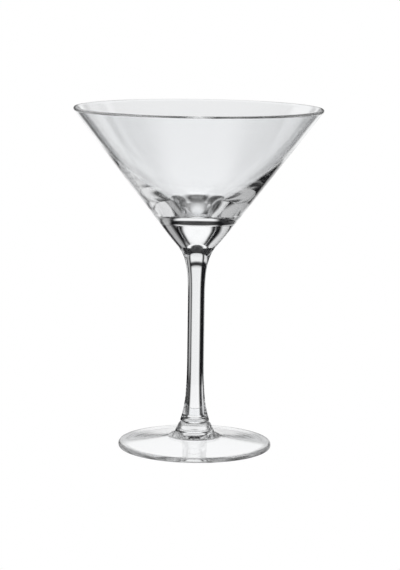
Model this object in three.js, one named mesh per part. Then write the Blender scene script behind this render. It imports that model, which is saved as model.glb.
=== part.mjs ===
// Martini glass: a conical bowl, a drawn stem and a disc foot, fused end to end.
// Millimetres, +Z up. The origin is the centre of the plane that the foot rests on.

import * as THREE from 'three';

// Overall
const HEIGHT = 160;
const RIM_RADIUS = 58;

// Facets round the axis, along each curve, and along the small arcs of the lip and foot edge
const SEGMENTS = 48;
const CURVE_STEPS = 8;
const LIP_STEPS = 6;
const EDGE_STEPS = 3;

// Bowl: a straight outer cone whose wall thickens down to a thick, solid base
const LIP_RADIUS = 0.85;
const CONE_SLOPE = 0.765;
const THIN_WALL_DEPTH = 13.5;
const WALL_TAPER = 21.5;
const SHOULDER_HEIGHT = 113;
const SHOULDER_RADIUS = 14.5;
const SHOULDER_SLOPE = 1.13;
const SHOULDER_PULL_UP = 9.8;
const SHOULDER_PULL_DOWN = 1.2;
const CAVITY_BOTTOM = 111.8;
const CAVITY_BOTTOM_RADIUS = 11.3;
const BASE_START = 104;
const BASE_PULL = 6;

// Stem: a slender rod that opens out at both ends
const STEM_TOP = 95.4;
const STEM_BOTTOM = 12;
const STEM_RADIUS = 3.95;
const SEAM_RADIUS = 9;
const NECK_END = 70;
const NECK_SLOPE = 0.75;
const NECK_PULL = 5.6;
const NECK_HOLD = 14;
const TRUMPET_START = 44;
const TRUMPET_RADIUS = 6.9;
const TRUMPET_HOLD = 20;
const TRUMPET_LEAN_IN = 2;
const TRUMPET_LEAN_UP = 6.3;
const BEAD = 0.7;
const SEAM_INSET = 0.35;

// Foot: a thin disc that rises to a boss under the stem, with a domed hollow below
const FOOT_RADIUS = 36;
const FOOT_EDGE = 2.6;
const EDGE_ROUND = 1.1;
const RING_INNER_RADIUS = 32.6;
const HOLLOW_DEPTH = 5.2;
const HOLLOW_CROWN = 7;
const HOLLOW_BEND_RADIUS = 13;
const HOLLOW_BEND_HEIGHT = 2.2;
const BOSS_RADIUS = 7.5;
const BOSS_SHOULDER = 11.2;
const DISC_BEND_RADIUS = 20;
const DISC_BEND_HEIGHT = 3.7;
const FILLET_RADIUS_IN = 9.4;
const FILLET_RADIUS_OUT = 12.5;
const FILLET_TOP = 7.2;
const FILLET_BOTTOM = 5.4;

const clearGlass = new THREE.MeshStandardMaterial({ color: 0xf4f8f8, roughness: 0.03, metalness: 0 });

const coneAngle = Math.atan(CONE_SLOPE);
const lipCentre = new THREE.Vector2(RIM_RADIUS - LIP_RADIUS, HEIGHT - LIP_RADIUS);
const wallNormal = new THREE.Vector2(Math.cos(coneAngle), -Math.sin(coneAngle));

// A point of the straight outer wall, which is tangent to the round lip
function outerWall(z) {
  const tangent = lipCentre.clone().addScaledVector(wallNormal, LIP_RADIUS);
  return new THREE.Vector2(tangent.x - CONE_SLOPE * (tangent.y - z), z);
}

// A point of the thin inner wall, one lip diameter inside the outer wall
function innerWall(z) {
  const tangent = lipCentre.clone().addScaledVector(wallNormal, -LIP_RADIUS);
  return new THREE.Vector2(tangent.x - CONE_SLOPE * (tangent.y - z), z);
}

// Spins a profile, given from its bottom round to its top, about the upright axis
function spin(name, points) {
  const geometry = new THREE.LatheGeometry(points, SEGMENTS);
  geometry.rotateX(Math.PI / 2);
  const mesh = new THREE.Mesh(geometry, clearGlass);
  mesh.name = name;
  return mesh;
}

// Joins several runs of points into one profile without repeated points
function joinRuns(...runs) {
  const points = [];
  for (const point of runs.flat()) {
    const last = points[points.length - 1];
    if (!last || last.distanceTo(point) > 1e-4) points.push(point);
  }
  return points;
}

function bezier(start, pullStart, pullEnd, end) {
  return new THREE.CubicBezierCurve(start, pullStart, pullEnd, end).getPoints(CURVE_STEPS);
}

function quadratic(start, pull, end) {
  return new THREE.QuadraticBezierCurve(start, pull, end).getPoints(CURVE_STEPS);
}

function lipArc() {
  const arc = new THREE.Path();
  arc.absarc(lipCentre.x, lipCentre.y, LIP_RADIUS, -coneAngle, Math.PI - coneAngle, false);
  return arc.getPoints(LIP_STEPS);
}

// The rounded underside of the bowl, from the seam up into the straight outer wall
function bowlBase() {
  const seam = new THREE.Vector2(SEAM_RADIUS, STEM_TOP);
  return quadratic(seam, outerWall(BASE_START - BASE_PULL), outerWall(BASE_START));
}

// A point on the slope of the cavity's shoulder, a given rise above or below it
function shoulderPoint(rise) {
  return new THREE.Vector2(SHOULDER_RADIUS + SHOULDER_SLOPE * rise, SHOULDER_HEIGHT + rise);
}

// The inner wall, leaning in from its thin upper part to the shoulder of the cavity
function taper() {
  const start = innerWall(HEIGHT - THIN_WALL_DEPTH);
  const pull = innerWall(start.y - WALL_TAPER);
  return bezier(start, pull, shoulderPoint(SHOULDER_PULL_UP), shoulderPoint(0));
}

// The nearly flat floor of the cavity, from its shoulder in to the axis
function cavityFloor() {
  const pull = new THREE.Vector2(CAVITY_BOTTOM_RADIUS, CAVITY_BOTTOM);
  const centre = new THREE.Vector2(0, CAVITY_BOTTOM);
  return bezier(shoulderPoint(0), shoulderPoint(-SHOULDER_PULL_DOWN), pull, centre);
}

function bowl() {
  const seam = [new THREE.Vector2(0, STEM_TOP)];
  return spin('bowl', joinRuns(seam, bowlBase(), lipArc(), taper(), cavityFloor()));
}

// The flare under the bowl, which meets the bowl's base at the seam
function neck() {
  const start = new THREE.Vector2(STEM_RADIUS, NECK_END);
  const hold = new THREE.Vector2(STEM_RADIUS, NECK_END + NECK_HOLD);
  const pull = new THREE.Vector2(SEAM_RADIUS - NECK_SLOPE * NECK_PULL, STEM_TOP - NECK_PULL);
  return bezier(start, hold, pull, new THREE.Vector2(SEAM_RADIUS, STEM_TOP));
}

// The flare above the foot, from its widest point up to the plain rod
function trumpet() {
  const widest = new THREE.Vector2(TRUMPET_RADIUS, STEM_BOTTOM + BEAD);
  const lean = new THREE.Vector2(widest.x - TRUMPET_LEAN_IN, widest.y + TRUMPET_LEAN_UP);
  const pullStart = new THREE.Vector2(STEM_RADIUS, TRUMPET_START - TRUMPET_HOLD);
  return bezier(widest, lean, pullStart, new THREE.Vector2(STEM_RADIUS, TRUMPET_START));
}

function stem() {
  const seam = [
    new THREE.Vector2(0, STEM_BOTTOM),
    new THREE.Vector2(TRUMPET_RADIUS - SEAM_INSET, STEM_BOTTOM),
  ];
  return spin('stem', joinRuns(seam, trumpet(), neck(), [new THREE.Vector2(0, STEM_TOP)]));
}

// The dome under the foot, from the axis out to the narrow flat ring that it rests on
function footHollow() {
  const centre = new THREE.Vector2(0, HOLLOW_DEPTH);
  const crown = new THREE.Vector2(HOLLOW_CROWN, HOLLOW_DEPTH);
  const bend = new THREE.Vector2(HOLLOW_BEND_RADIUS, HOLLOW_BEND_HEIGHT);
  return bezier(centre, crown, bend, new THREE.Vector2(RING_INNER_RADIUS, 0));
}

function footEdge() {
  const edge = new THREE.Path();
  const arcCentre = FOOT_RADIUS - EDGE_ROUND;
  edge.absarc(arcCentre, EDGE_ROUND, EDGE_ROUND, -Math.PI / 2, 0, false);
  edge.absarc(arcCentre, FOOT_EDGE - EDGE_ROUND, EDGE_ROUND, 0, Math.PI / 2, false);
  return edge.getPoints(EDGE_STEPS);
}

// The top of the foot, from the rounded edge in to the fillet of the boss
function footTop() {
  const start = new THREE.Vector2(FOOT_RADIUS - EDGE_ROUND, FOOT_EDGE);
  const pull = new THREE.Vector2(DISC_BEND_RADIUS, DISC_BEND_HEIGHT);
  const end = new THREE.Vector2(FILLET_RADIUS_OUT, FILLET_BOTTOM);
  return quadratic(start, pull, end);
}

function boss() {
  return [
    new THREE.Vector2(FILLET_RADIUS_IN, FILLET_TOP),
    new THREE.Vector2(BOSS_RADIUS, BOSS_SHOULDER),
    new THREE.Vector2(TRUMPET_RADIUS - SEAM_INSET, STEM_BOTTOM),
    new THREE.Vector2(0, STEM_BOTTOM),
  ];
}

function foot() {
  return spin('foot', joinRuns(footHollow(), footEdge(), footTop(), boss()));
}

const glass = new THREE.Group();
glass.name = 'martini_glass';
glass.add(bowl(), stem(), foot());

export default glass;
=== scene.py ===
import math

import bmesh
import bpy
from mathutils import Matrix, Vector


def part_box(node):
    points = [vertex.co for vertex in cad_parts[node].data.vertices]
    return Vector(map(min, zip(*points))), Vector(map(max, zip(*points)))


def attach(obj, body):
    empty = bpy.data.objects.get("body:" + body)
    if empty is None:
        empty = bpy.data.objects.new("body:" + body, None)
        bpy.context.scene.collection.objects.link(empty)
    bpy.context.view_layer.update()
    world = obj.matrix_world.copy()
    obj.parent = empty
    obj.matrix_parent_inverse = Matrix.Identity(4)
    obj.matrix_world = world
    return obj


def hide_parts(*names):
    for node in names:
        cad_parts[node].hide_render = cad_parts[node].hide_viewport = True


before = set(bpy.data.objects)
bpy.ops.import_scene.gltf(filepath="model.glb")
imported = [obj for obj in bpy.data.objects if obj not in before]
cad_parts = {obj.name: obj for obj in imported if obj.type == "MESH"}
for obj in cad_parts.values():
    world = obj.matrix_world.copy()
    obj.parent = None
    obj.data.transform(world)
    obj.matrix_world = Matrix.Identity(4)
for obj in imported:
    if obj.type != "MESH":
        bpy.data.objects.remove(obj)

MM = 0.001

# The shape's driving dimensions, in metres, and its slopes, which are plain ratios. The overall
# sizes and the heights of the seams come from the frame.
LIP_RADIUS = 0.85 * MM
CONE_SLOPE = 0.765
THIN_WALL_DEPTH = 13.5 * MM
WALL_TAPER = 21.5 * MM
SHOULDER_HEIGHT = 113 * MM
SHOULDER_RADIUS = 14.5 * MM
SHOULDER_SLOPE = 1.13
SHOULDER_PULL_UP = 9.8 * MM
SHOULDER_PULL_DOWN = 1.2 * MM
CAVITY_BOTTOM = 111.8 * MM
CAVITY_BOTTOM_RADIUS = 11.3 * MM
STEM_RADIUS = 3.95 * MM
BASE_START = 104 * MM
BASE_PULL = 6 * MM
SEAM_RADIUS = 9 * MM
NECK_END = 70 * MM
NECK_SLOPE = 0.75
NECK_PULL = 5.6 * MM
NECK_HOLD = 14 * MM
TRUMPET_START = 44 * MM
TRUMPET_RADIUS = 6.9 * MM
TRUMPET_HOLD = 20 * MM
TRUMPET_LEAN_IN = 2 * MM
TRUMPET_LEAN_UP = 6.3 * MM
BEAD = 0.7 * MM
SEAM_INSET = 0.35 * MM
FOOT_EDGE = 2.6 * MM
EDGE_ROUND = 1.1 * MM
RING_INNER_RADIUS = 32.6 * MM
HOLLOW_DEPTH = 5.2 * MM
HOLLOW_CROWN = 7 * MM
HOLLOW_BEND_RADIUS = 13 * MM
HOLLOW_BEND_HEIGHT = 2.2 * MM
BOSS_RADIUS = 7.5 * MM
BOSS_SHOULDER = 11.2 * MM
DISC_BEND_RADIUS = 20 * MM
DISC_BEND_HEIGHT = 3.7 * MM
FILLET_RADIUS_IN = 9.4 * MM
FILLET_TOP = 7.2 * MM
FILLET_RADIUS_OUT = 12.5 * MM
FILLET_BOTTOM = 5.4 * MM

# The glass: its tint, its polish (as roughness), the waves in its surface and its index
TINT_CLEAR = (0.985, 0.992, 1.0, 1)
TINT_DEEP = (0.972, 0.983, 0.993, 1)
TINT_SCALE = 12
POLISH_BEST = 0.01
POLISH_WORST = 0.06
SMEAR_SCALE = 70
WAVE_SCALE = 45
WAVE_HEIGHT = 0.2 * MM
WAVE_STRENGTH = 0.25
TINT_DETAIL = 0
SMEAR_DETAIL = 3
WAVE_DETAIL = 1
GLASS_IOR = 1.52

# The camera: its lens and sensor in millimetres, its place in metres and its angles in degrees
LENS = 136.64
SENSOR_WIDTH = 36
CAMERA_PLACE = (0, -1.0, 0.230)
CAMERA_YAW = 0.094
CAMERA_DIP = 8.70
CAMERA_ROLL = 0.79

# The studio, in metres: the height of its centre and the distance of its panels
STUDIO_CENTRE = 0.09
PANEL_DISTANCE = 2
# The widest a panel's facet can be, in degrees
PANEL_STEP = 2

# The floor lies just below the glass, so that the two surfaces never coincide.
FLOOR_RADIUS = 3
FLOOR_GAP = 0.2 * MM

# The white of the lights, the floor and the backdrop, and the near-black beyond the lights
WHITE = (1, 1, 1, 1)
SURROUND = (0.01, 0.01, 0.011, 1)

# Light crosses many surfaces of clear glass before it leaves.
LIGHT_BOUNCES = 200

# Fineness of the meshes
SEGMENTS = 256
DISC_SEGMENTS = 96
STEP = 0.8 * MM
ARC_STEPS = 16
BEZIER_STEPS = 40
QUADRATIC_STEPS = 30

# Tolerances in metres: for a repeated point of a profile, for a ring at the height of a seam, for
# two rings at one height, and for a point on the axis
SAME_POINT = 1e-6
AT_SEAM = 1e-6
FLAT = 1e-7
ON_AXIS = 1e-7

scene = bpy.context.scene
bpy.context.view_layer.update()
bowl_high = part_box("bowl")[1]
stem_low, stem_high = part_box("stem")
foot_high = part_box("foot")[1]
rim_radius = bowl_high.x
height = bowl_high.z
seam_top = stem_high.z
seam_bottom = stem_low.z
foot_radius = foot_high.x
cone_angle = math.atan(CONE_SLOPE)
lip_centre = Vector((rim_radius - LIP_RADIUS, height - LIP_RADIUS))


# ---------------------------------------------------------------- camera

def make_camera():
    data = bpy.data.cameras.new("camera")
    data.lens = LENS
    data.sensor_width = SENSOR_WIDTH
    camera = bpy.data.objects.new("camera", data)
    scene.collection.objects.link(camera)
    camera.location = CAMERA_PLACE
    yaw = Matrix.Rotation(-math.radians(CAMERA_YAW), 4, "Z")
    pitch = Matrix.Rotation(math.radians(90 - CAMERA_DIP), 4, "X")
    roll = Matrix.Rotation(math.radians(CAMERA_ROLL), 4, "Z")
    camera.rotation_mode = "QUATERNION"
    camera.rotation_quaternion = (yaw @ pitch @ roll).to_quaternion()
    scene.camera = camera


# ---------------------------------------------------------------- profiles (radius, height)

def line(start, end):
    """A straight run, in steps no longer than STEP."""
    steps = max(1, math.ceil((end - start).length / STEP))
    return [start.lerp(end, i / steps) for i in range(steps + 1)]


def bezier(start, pull_start, pull_end, end, steps=BEZIER_STEPS):
    points = []
    for i in range(steps + 1):
        t = i / steps
        s = 1 - t
        near_start = s**3 * start + 3 * s * s * t * pull_start
        points.append(near_start + 3 * s * t * t * pull_end + t**3 * end)
    return points


def quadratic(start, pull, end):
    """A curve with one pull, drawn as the cubic that has the same shape."""
    two_thirds = 2 / 3
    pull_start = start.lerp(pull, two_thirds)
    pull_end = end.lerp(pull, two_thirds)
    return bezier(start, pull_start, pull_end, end, QUADRATIC_STEPS)


def arc(centre, radius, start, end):
    points = []
    for i in range(ARC_STEPS + 1):
        a = start + (end - start) * i / ARC_STEPS
        points.append(centre + radius * Vector((math.cos(a), math.sin(a))))
    return points


def join_runs(*runs):
    """One profile from several runs, without repeated points."""
    points = []
    for run in runs:
        for point in run:
            if not points or (points[-1] - point).length > SAME_POINT:
                points.append(point)
    return points


def wall(side, z):
    """A point of the straight cone tangent to the lip: side 1 is outside, side -1 inside."""
    tangent = lip_centre + side * LIP_RADIUS * Vector((math.cos(cone_angle), -math.sin(cone_angle)))
    return Vector((tangent.x - CONE_SLOPE * (tangent.y - z), z))


def outer_wall(z):
    return wall(1, z)


def inner_wall(z):
    return wall(-1, z)


def bowl_profile():
    lip = arc(lip_centre, LIP_RADIUS, -cone_angle, math.pi - cone_angle)
    base = quadratic(
        Vector((SEAM_RADIUS, seam_top)),
        outer_wall(BASE_START - BASE_PULL),
        outer_wall(BASE_START),
    )
    outside = line(base[-1], lip[0])
    taper_start = inner_wall(height - THIN_WALL_DEPTH)
    inside = line(lip[-1], taper_start)
    shoulder = Vector((SHOULDER_RADIUS, SHOULDER_HEIGHT))
    along = Vector((SHOULDER_SLOPE, 1))
    taper = bezier(
        taper_start,
        inner_wall(taper_start.y - WALL_TAPER),
        shoulder + SHOULDER_PULL_UP * along,
        shoulder,
    )
    cavity = bezier(
        shoulder,
        shoulder - SHOULDER_PULL_DOWN * along,
        Vector((CAVITY_BOTTOM_RADIUS, CAVITY_BOTTOM)),
        Vector((0, CAVITY_BOTTOM)),
    )
    return join_runs([Vector((0, seam_top))], base, outside, lip, inside, taper, cavity)


def stem_profile():
    widest = Vector((TRUMPET_RADIUS, seam_bottom + BEAD))
    trumpet = bezier(
        widest,
        Vector((widest.x - TRUMPET_LEAN_IN, widest.y + TRUMPET_LEAN_UP)),
        Vector((STEM_RADIUS, TRUMPET_START - TRUMPET_HOLD)),
        Vector((STEM_RADIUS, TRUMPET_START)),
    )
    rod = line(Vector((STEM_RADIUS, TRUMPET_START)), Vector((STEM_RADIUS, NECK_END)))
    neck = bezier(
        Vector((STEM_RADIUS, NECK_END)),
        Vector((STEM_RADIUS, NECK_END + NECK_HOLD)),
        Vector((SEAM_RADIUS - NECK_SLOPE * NECK_PULL, seam_top - NECK_PULL)),
        Vector((SEAM_RADIUS, seam_top)),
    )
    seam = [Vector((0, seam_bottom)), Vector((TRUMPET_RADIUS - SEAM_INSET, seam_bottom))]
    return join_runs(seam, trumpet, rod, neck, [Vector((0, seam_top))])


def foot_profile():
    hollow = bezier(
        Vector((0, HOLLOW_DEPTH)),
        Vector((HOLLOW_CROWN, HOLLOW_DEPTH)),
        Vector((HOLLOW_BEND_RADIUS, HOLLOW_BEND_HEIGHT)),
        Vector((RING_INNER_RADIUS, 0)),
    )
    arc_radius = foot_radius - EDGE_ROUND
    lower_edge = arc(Vector((arc_radius, EDGE_ROUND)), EDGE_ROUND, -math.pi / 2, 0)
    upper_edge = arc(Vector((arc_radius, FOOT_EDGE - EDGE_ROUND)), EDGE_ROUND, 0, math.pi / 2)
    ring = line(hollow[-1], lower_edge[0])
    disc = quadratic(
        upper_edge[-1],
        Vector((DISC_BEND_RADIUS, DISC_BEND_HEIGHT)),
        Vector((FILLET_RADIUS_OUT, FILLET_BOTTOM)),
    )
    fillet = line(disc[-1], Vector((FILLET_RADIUS_IN, FILLET_TOP)))
    side = line(fillet[-1], Vector((BOSS_RADIUS, BOSS_SHOULDER)))
    seam = [Vector((TRUMPET_RADIUS - SEAM_INSET, seam_bottom)), Vector((0, seam_bottom))]
    return join_runs(hollow, ring, lower_edge, upper_edge, disc, fillet, side, seam)


# ---------------------------------------------------------------- meshes

def spin(name, profile, materials, seam_heights):
    """A closed body of revolution. Its flat seam discs take the second material."""
    bm = bmesh.new()
    rings = []
    for point in profile:
        if point.x < ON_AXIS:
            rings.append([bm.verts.new((0, 0, point.y))])
            continue
        ring = []
        for i in range(SEGMENTS):
            a = 2 * math.pi * i / SEGMENTS
            ring.append(bm.verts.new((point.x * math.cos(a), point.x * math.sin(a), point.y)))
        rings.append(ring)
    for below, above in zip(rings, rings[1:]):
        flat = abs(below[0].co.z - above[0].co.z) < FLAT
        at_seam = flat and any(abs(below[0].co.z - z) < AT_SEAM for z in seam_heights)
        for i in range(SEGMENTS):
            j = (i + 1) % SEGMENTS
            if len(below) == 1:
                corners = (below[0], above[j], above[i])
            elif len(above) == 1:
                corners = (below[i], below[j], above[0])
            else:
                corners = (below[i], below[j], above[j], above[i])
            face = bm.faces.new(corners)
            face.smooth = not at_seam
            face.material_index = 1 if at_seam else 0
    for edge in bm.edges:
        indices = {face.material_index for face in edge.link_faces}
        edge.smooth = len(indices) == 1
    bm.normal_update()
    mesh = bpy.data.meshes.new(name)
    bm.to_mesh(mesh)
    bm.free()
    piece = bpy.data.objects.new(name, mesh)
    for material in materials:
        mesh.materials.append(material)
    scene.collection.objects.link(piece)
    return piece


# ---------------------------------------------------------------- materials

def noise(nodes, links, coordinates, scale, detail):
    texture = nodes.new("ShaderNodeTexNoise")
    texture.inputs["Scale"].default_value = scale
    texture.inputs["Detail"].default_value = detail
    links.new(coordinates.outputs["Object"], texture.inputs["Vector"])
    return texture


def glass_material():
    """Clear glass with slow waves in its surface and faint smears in its polish."""
    material = bpy.data.materials.new("clear_glass")
    material.use_nodes = True
    nodes = material.node_tree.nodes
    links = material.node_tree.links
    shader = nodes["Principled BSDF"]
    shader.inputs["Transmission Weight"].default_value = 1
    shader.inputs["IOR"].default_value = GLASS_IOR
    coordinates = nodes.new("ShaderNodeTexCoord")

    tint = nodes.new("ShaderNodeMix")
    tint.data_type = "RGBA"
    tint.inputs["A"].default_value = TINT_CLEAR
    tint.inputs["B"].default_value = TINT_DEEP
    drift = noise(nodes, links, coordinates, TINT_SCALE, TINT_DETAIL)
    links.new(drift.outputs["Fac"], tint.inputs["Factor"])
    links.new(tint.outputs["Result"], shader.inputs["Base Color"])

    polish = nodes.new("ShaderNodeMapRange")
    polish.inputs["To Min"].default_value = POLISH_BEST
    polish.inputs["To Max"].default_value = POLISH_WORST
    smears = noise(nodes, links, coordinates, SMEAR_SCALE, SMEAR_DETAIL)
    links.new(smears.outputs["Fac"], polish.inputs["Value"])
    links.new(polish.outputs["Result"], shader.inputs["Roughness"])

    waves = nodes.new("ShaderNodeBump")
    waves.inputs["Strength"].default_value = WAVE_STRENGTH
    waves.inputs["Distance"].default_value = WAVE_HEIGHT
    swell = noise(nodes, links, coordinates, WAVE_SCALE, WAVE_DETAIL)
    links.new(swell.outputs["Fac"], waves.inputs["Height"])
    links.new(waves.outputs["Normal"], shader.inputs["Normal"])
    return material


def seam_material():
    """The fused seam inside the glass, where light passes straight on."""
    material = bpy.data.materials.new("fused_seam")
    material.use_nodes = True
    nodes = material.node_tree.nodes
    links = material.node_tree.links
    nodes.remove(nodes["Principled BSDF"])
    clear = nodes.new("ShaderNodeBsdfTransparent")
    links.new(clear.outputs["BSDF"], nodes["Material Output"].inputs["Surface"])
    return material


def emitter(name):
    """A plain white light."""
    material = bpy.data.materials.new(name)
    material.use_nodes = True
    nodes = material.node_tree.nodes
    nodes.remove(nodes["Principled BSDF"])
    light = nodes.new("ShaderNodeEmission")
    light.inputs["Color"].default_value = WHITE
    light.inputs["Strength"].default_value = 1
    surface = nodes["Material Output"].inputs["Surface"]
    material.node_tree.links.new(light.outputs["Emission"], surface)
    return material


def soft_emitter(name, strength):
    """A light whose strength follows the panel's glow."""
    material = emitter(name)
    nodes = material.node_tree.nodes
    links = material.node_tree.links
    glow = nodes.new("ShaderNodeAttribute")
    glow.attribute_name = "glow"
    scale = nodes.new("ShaderNodeMath")
    scale.operation = "MULTIPLY"
    scale.inputs[1].default_value = strength
    links.new(glow.outputs["Fac"], scale.inputs[0])
    links.new(scale.outputs["Value"], nodes["Emission"].inputs["Strength"])
    return material


# ---------------------------------------------------------------- studio

def disc(name, radius, z, material):
    bm = bmesh.new()
    bmesh.ops.create_circle(bm, cap_ends=True, segments=DISC_SEGMENTS, radius=radius)
    bmesh.ops.translate(bm, verts=bm.verts, vec=(0, 0, z))
    mesh = bpy.data.meshes.new(name)
    bm.to_mesh(mesh)
    bm.free()
    mesh.materials.append(material)
    obj = bpy.data.objects.new(name, mesh)
    scene.collection.objects.link(obj)
    return obj


def fade(position, low, high, soft):
    """1 inside a panel, falling smoothly to 0 over its soft edges."""
    t = min(position - low, high - position) / soft
    t = min(1, max(0, t))
    return t * t * (3 - 2 * t)


def panel(name, azimuths, elevations, strength, side_soft=6, end_soft=6, low_gain=1):
    """A soft-edged sheet of light on a sphere round the glass. Azimuth 0 is straight behind it.

    low_gain is how many times brighter its bottom edge is than its top. The panels share one
    sphere, so they are placed not to overlap: two at the same place would show as stripes.
    """
    bm = bmesh.new()
    glow = bm.verts.layers.float.new("glow")
    across = math.ceil((azimuths[1] - azimuths[0]) / PANEL_STEP)
    upward = math.ceil((elevations[1] - elevations[0]) / PANEL_STEP)
    full_turn = azimuths[1] - azimuths[0] >= 360
    # A panel that closes over straight down has no lower edge to soften.
    bottom = elevations[0] if elevations[0] > -90 else elevations[0] - end_soft
    columns = []
    for i in range(across + 1):
        azimuth = azimuths[0] + (azimuths[1] - azimuths[0]) * i / across
        side_fade = 1 if full_turn else fade(azimuth, *azimuths, side_soft)
        a = math.radians(azimuth)
        column = []
        for j in range(upward + 1):
            elevation = elevations[0] + (elevations[1] - elevations[0]) * j / upward
            e = math.radians(elevation)
            x = PANEL_DISTANCE * math.sin(a) * math.cos(e)
            y = PANEL_DISTANCE * math.cos(a) * math.cos(e)
            vertex = bm.verts.new((x, y, STUDIO_CENTRE + PANEL_DISTANCE * math.sin(e)))
            gain = low_gain + (1 - low_gain) * j / upward
            vertex[glow] = gain * side_fade * fade(elevation, bottom, elevations[1], end_soft)
            column.append(vertex)
        columns.append(column)
    for left, right in zip(columns, columns[1:]):
        for j in range(upward):
            bm.faces.new((left[j], left[j + 1], right[j + 1], right[j]))
    mesh = bpy.data.meshes.new(name)
    bm.to_mesh(mesh)
    bm.free()
    mesh.materials.append(soft_emitter(name, strength))
    obj = bpy.data.objects.new(name, mesh)
    scene.collection.objects.link(obj)
    obj.visible_camera = False


def make_world():
    """White where the camera looks past the glass, near-black to every other ray."""
    world = bpy.data.worlds.new("studio")
    scene.world = world
    world.use_nodes = True
    nodes = world.node_tree.nodes
    links = world.node_tree.links
    background = nodes["Background"]
    path = nodes.new("ShaderNodeLightPath")
    mix = nodes.new("ShaderNodeMix")
    mix.data_type = "RGBA"
    mix.inputs["A"].default_value = SURROUND
    mix.inputs["B"].default_value = WHITE
    links.new(path.outputs["Is Camera Ray"], mix.inputs["Factor"])
    links.new(mix.outputs["Result"], background.inputs["Color"])


make_camera()
glass = glass_material()
seam = seam_material()
bowl = spin("bowl_glass", bowl_profile(), [glass, seam], [seam_top])
stem = spin("stem_glass", stem_profile(), [glass, seam], [seam_top, seam_bottom])
foot = spin("foot_glass", foot_profile(), [glass, seam], [seam_bottom])
for piece, node in ((bowl, "bowl"), (stem, "stem"), (foot, "foot")):
    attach(piece, "root")
    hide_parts(node)

# The floor is seen by the camera, but not through the glass or in it.
make_world()
floor = disc("floor", FLOOR_RADIUS, -FLOOR_GAP, emitter("floor"))
floor.visible_transmission = False
floor.visible_glossy = False

# Each panel has its azimuths and elevations in degrees, then its strength. Soft edges are in degrees.
panel("sheet", (-23, 26), (-57, 6), 0.9, side_soft=8, end_soft=3, low_gain=1.2)
panel("sheet_top", (-23, 26), (9, 52), 0.92, side_soft=8, end_soft=4)
panel("overhead", (-64, 64), (53, 75), 1.0)
panel("below", (-180, 180), (-90, -57), 0.9, end_soft=16)
panel("left_high", (-54, -24), (11, 48), 0.85)
panel("left_floor", (-54, -34), (-57, -14), 0.7, side_soft=4, end_soft=4)
panel("left_strip", (-116, -55), (-20, 44), 0.6)
panel("right_fill", (26, 46), (-17, 43), 0.4)
panel("right_strip", (49, 108), (-9, 44), 0.85)
panel("near_floor", (110, 250), (-57, -24), 0.7, side_soft=20, end_soft=3)
panel("back_strip", (108, 162), (-24, 39), 0.75, end_soft=3)

scene.view_settings.view_transform = "Standard"
scene.cycles.max_bounces = LIGHT_BOUNCES
scene.cycles.transmission_bounces = LIGHT_BOUNCES
scene.cycles.glossy_bounces = LIGHT_BOUNCES
scene.cycles.transparent_max_bounces = LIGHT_BOUNCES
